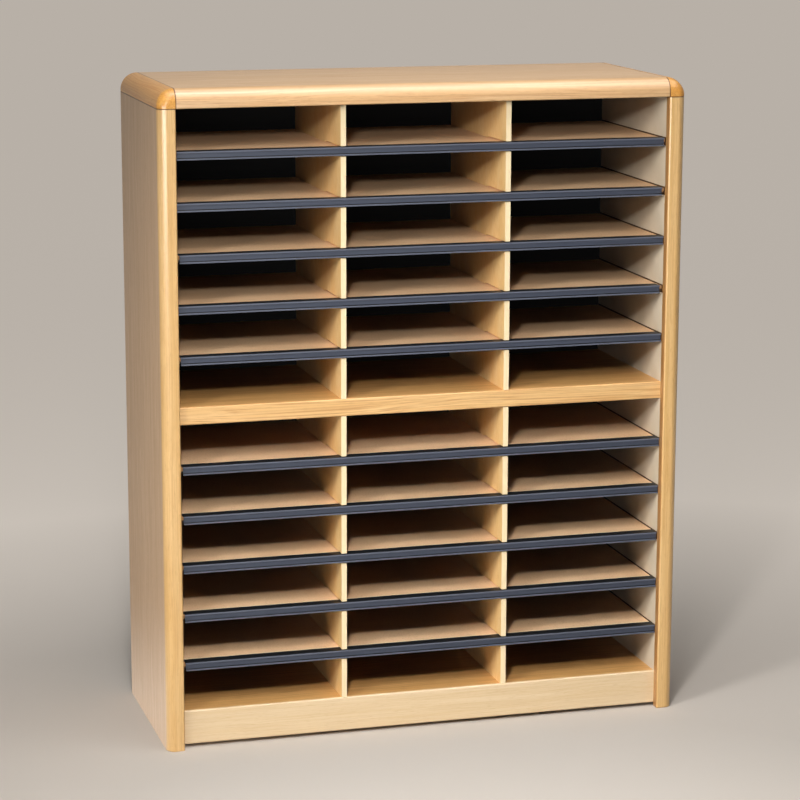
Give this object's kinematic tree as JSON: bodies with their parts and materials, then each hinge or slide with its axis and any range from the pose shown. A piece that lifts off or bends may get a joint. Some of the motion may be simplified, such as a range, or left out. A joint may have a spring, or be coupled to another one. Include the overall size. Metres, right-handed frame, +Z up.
{
  "type": "literature sorter",
  "caption": "Free-standing wooden literature sorter with letter-size compartments in columns; loose shelves with plastic label strips slide out to the front.",
  "frame": {"origin": "centre of the base, on the floor, midway between the sides and between front and back", "axes": "+Z up, +X to the right seen from the front, the open front faces -Y"},
  "size_m": [0.8192, 0.305, 1.004],
  "materials": {
    "side_laminate": "satin oak-print laminate, grain upright",
    "front_moulding": "lacquered solid wood, grain along the piece",
    "top_laminate": "satin oak-print laminate, grain along the width",
    "board_laminate": "satin oak-print laminate, grain along the width",
    "kick_veneer": "satin pale wood, fine level grain",
    "back_hardboard": "black coated hardboard",
    "divider_board": "printed board with a pale front edge",
    "liner_board": "matt cream board",
    "runner_wood": "bare wood strip",
    "shelf_hardboard": "bare brown hardboard",
    "strip_plastic": "extruded slate-black plastic",
    "dowel_wood": "fluted beech dowel, plain here",
    "zinc_cam": "die-cast zinc",
    "fastener_steel": "bright zinc-plated steel"
  },
  "bodies": {
    "cabinet": {"left_side_panel": "side_laminate", "right_side_panel": "side_laminate", "left_front_post": "front_moulding", "right_front_post": "front_moulding", "left_corner_rail": "front_moulding", "right_corner_rail": "front_moulding", "top_panel": "top_laminate", "middle_shelf": "board_laminate", "bottom_shelf": "board_laminate", "kick_plate": "kick_veneer", "back_panel": "back_hardboard", "lower_divider_1": "divider_board", "lower_divider_2": "divider_board", "upper_divider_1": "divider_board", "upper_divider_2": "divider_board", "left_lower_liner": "liner_board", "right_lower_liner": "liner_board", "left_upper_liner": "liner_board", "right_upper_liner": "liner_board", "left_lower_runners": "runner_wood", "right_lower_runners": "runner_wood", "left_upper_runners": "runner_wood", "right_upper_runners": "runner_wood", "wood_dowels": "dowel_wood", "cam_locks": "zinc_cam", "cam_bolts": "fastener_steel", "back_screws": "fastener_steel"},
    "lower_shelf_1": {"lower_shelf_1": "shelf_hardboard", "lower_strip_1": "strip_plastic"},
    "lower_shelf_2": {"lower_shelf_2": "shelf_hardboard", "lower_strip_2": "strip_plastic"},
    "lower_shelf_3": {"lower_shelf_3": "shelf_hardboard", "lower_strip_3": "strip_plastic"},
    "lower_shelf_4": {"lower_shelf_4": "shelf_hardboard", "lower_strip_4": "strip_plastic"},
    "lower_shelf_5": {"lower_shelf_5": "shelf_hardboard", "lower_strip_5": "strip_plastic"},
    "upper_shelf_1": {"upper_shelf_1": "shelf_hardboard", "upper_strip_1": "strip_plastic"},
    "upper_shelf_2": {"upper_shelf_2": "shelf_hardboard", "upper_strip_2": "strip_plastic"},
    "upper_shelf_3": {"upper_shelf_3": "shelf_hardboard", "upper_strip_3": "strip_plastic"},
    "upper_shelf_4": {"upper_shelf_4": "shelf_hardboard", "upper_strip_4": "strip_plastic"},
    "upper_shelf_5": {"upper_shelf_5": "shelf_hardboard", "upper_strip_5": "strip_plastic"}
  },
  "joints": [
    {"name": "lower_shelf_1_slide", "type": "slide", "parent": "cabinet", "child": "lower_shelf_1", "axis": [0, -1, 0], "range_m": [0, 0.305]},
    {"name": "lower_shelf_2_slide", "type": "slide", "parent": "cabinet", "child": "lower_shelf_2", "axis": [0, -1, 0], "range_m": [0, 0.305]},
    {"name": "lower_shelf_3_slide", "type": "slide", "parent": "cabinet", "child": "lower_shelf_3", "axis": [0, -1, 0], "range_m": [0, 0.305]},
    {"name": "lower_shelf_4_slide", "type": "slide", "parent": "cabinet", "child": "lower_shelf_4", "axis": [0, -1, 0], "range_m": [0, 0.305]},
    {"name": "lower_shelf_5_slide", "type": "slide", "parent": "cabinet", "child": "lower_shelf_5", "axis": [0, -1, 0], "range_m": [0, 0.305]},
    {"name": "upper_shelf_1_slide", "type": "slide", "parent": "cabinet", "child": "upper_shelf_1", "axis": [0, -1, 0], "range_m": [0, 0.305]},
    {"name": "upper_shelf_2_slide", "type": "slide", "parent": "cabinet", "child": "upper_shelf_2", "axis": [0, -1, 0], "range_m": [0, 0.305]},
    {"name": "upper_shelf_3_slide", "type": "slide", "parent": "cabinet", "child": "upper_shelf_3", "axis": [0, -1, 0], "range_m": [0, 0.305]},
    {"name": "upper_shelf_4_slide", "type": "slide", "parent": "cabinet", "child": "upper_shelf_4", "axis": [0, -1, 0], "range_m": [0, 0.305]},
    {"name": "upper_shelf_5_slide", "type": "slide", "parent": "cabinet", "child": "upper_shelf_5", "axis": [0, -1, 0], "range_m": [0, 0.305]}
  ]
}
